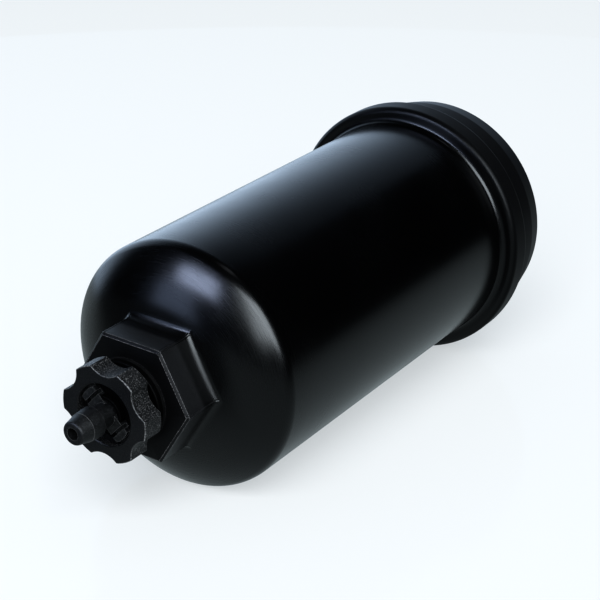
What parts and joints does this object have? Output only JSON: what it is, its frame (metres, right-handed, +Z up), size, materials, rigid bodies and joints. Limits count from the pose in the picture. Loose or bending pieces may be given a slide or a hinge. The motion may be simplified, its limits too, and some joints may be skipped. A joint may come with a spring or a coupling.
{
  "type": "cartridge filter canister with drain valve",
  "caption": "Screw-on metal filter canister lying on its side, with a replaceable pleated cartridge and a hand-wheel drain valve with a hose nozzle.",
  "frame": {"origin": "bottom centre of the bounding box, directly under the canister's axis, on the plane the collar rests on", "axes": "+Y along the canister's axis from the drain end to the mouth, +Z up, +X to the right when looking along +Y"},
  "size_m": [0.0896, 0.2042, 0.0896],
  "materials": {
    "black_coated_metal": "satin",
    "wheel_plastic": "matte",
    "valve_plastic": "satin",
    "seal_rubber": "matte",
    "spring_wire": "satin",
    "seat_plastic": "satin",
    "cap_plastic": "satin",
    "tube_plastic": "satin",
    "filter_paper": "matte",
    "potting_resin": "satin",
    "band_glue": "satin"
  },
  "bodies": {
    "bowl": {"bowl": "black_coated_metal", "mouth_o_ring": "seal_rubber", "drain_gasket": "seal_rubber", "valve_body": "valve_plastic", "snout_o_ring": "seal_rubber", "cartridge_spring": "spring_wire"},
    "drain_stem": {"drain_stem": "valve_plastic", "stem_o_ring": "seal_rubber", "nose_seal": "seal_rubber"},
    "drain_wheel": {"drain_wheel": "wheel_plastic"},
    "spring_seat": {"spring_seat": "seat_plastic", "seat_o_ring": "seal_rubber"},
    "cartridge": {"bottom_end_cap": "cap_plastic", "bottom_potting": "potting_resin", "centre_tube": "tube_plastic", "pleated_media": "filter_paper", "pleat_bands": "band_glue", "top_potting": "potting_resin", "top_end_cap": "cap_plastic", "outlet_grommet": "seal_rubber"}
  },
  "joints": [
    {"name": "drain_stem_slide", "type": "slide", "parent": "bowl", "child": "drain_stem", "axis": [0, -1, 0], "range_m": [0, 0.00225]},
    {"name": "drain_wheel_turn", "type": "hinge", "parent": "drain_stem", "child": "drain_wheel", "pos_m": [0, -0.08535, 0.0448], "axis": [0, -1, 0], "range_deg": [0, 270]},
    {"name": "seat_slide", "type": "slide", "parent": "bowl", "child": "spring_seat", "axis": [0, 1, 0], "range_m": [-0.006, 0], "stiffness_N_per_m": 1500, "deforming": ["cartridge_spring"]},
    {"name": "cartridge_lift_out", "type": "slide", "parent": "spring_seat", "child": "cartridge", "axis": [0, 1, 0], "range_m": [0, 0.15]}
  ],
  "couplings": [
    {"joint": "drain_stem_slide", "follows": "drain_wheel_turn", "m_per_rad": 0.0004774}
  ]
}
